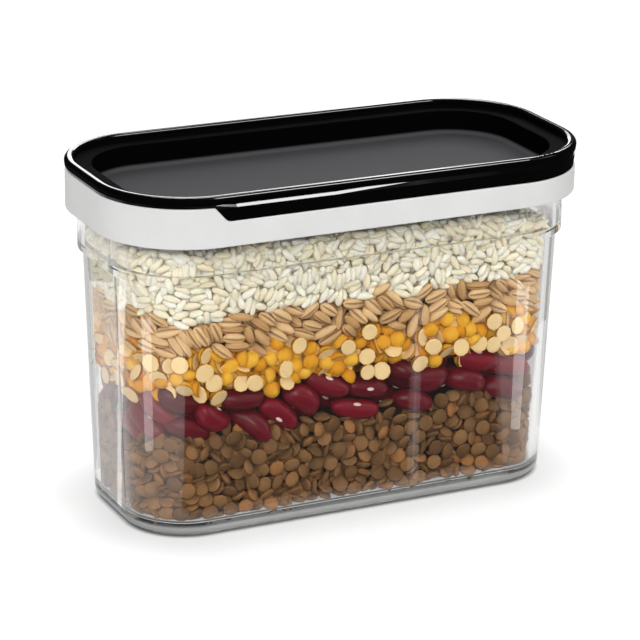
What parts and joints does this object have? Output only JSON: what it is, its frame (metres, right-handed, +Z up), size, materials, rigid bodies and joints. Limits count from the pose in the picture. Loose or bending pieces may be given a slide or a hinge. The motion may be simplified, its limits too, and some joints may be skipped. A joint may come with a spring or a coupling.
{
  "type": "food storage container",
  "caption": "Clear rounded-rectangular pantry container with a pale sealing ring and a black lift-off tray lid, filled with layers of rice, wheat, split peas, kidney beans and lentils.",
  "frame": {"origin": "on the surface that the container stands on, under the middle of its outline", "axes": "+X along the length, towards the end with the deep black band; front of the container towards -Y; +Z up"},
  "size_m": [0.1848, 0.0892, 0.1278],
  "materials": {
    "clear_plastic": "polished",
    "pale_silicone": "matte",
    "black_plastic": "gloss",
    "rice": "satin",
    "wheat": "matte",
    "split_peas": "matte",
    "kidney_beans": "gloss",
    "lentils": "satin"
  },
  "bodies": {
    "container": {"container_body": "clear_plastic", "lentil_layer": "lentils", "kidney_bean_layer": "kidney_beans", "split_pea_layer": "split_peas", "wheat_layer": "wheat", "rice_layer": "rice"},
    "ring": {"seal_ring": "pale_silicone"},
    "lid": {"lid_tray": "black_plastic"}
  },
  "joints": [
    {"name": "ring_lift", "type": "slide", "parent": "container", "child": "ring", "axis": [0, 0, 1], "range_m": [0, 0.06]},
    {"name": "lid_lift", "type": "slide", "parent": "ring", "child": "lid", "axis": [0, 0, 1], "range_m": [0, 0.06]}
  ]
}
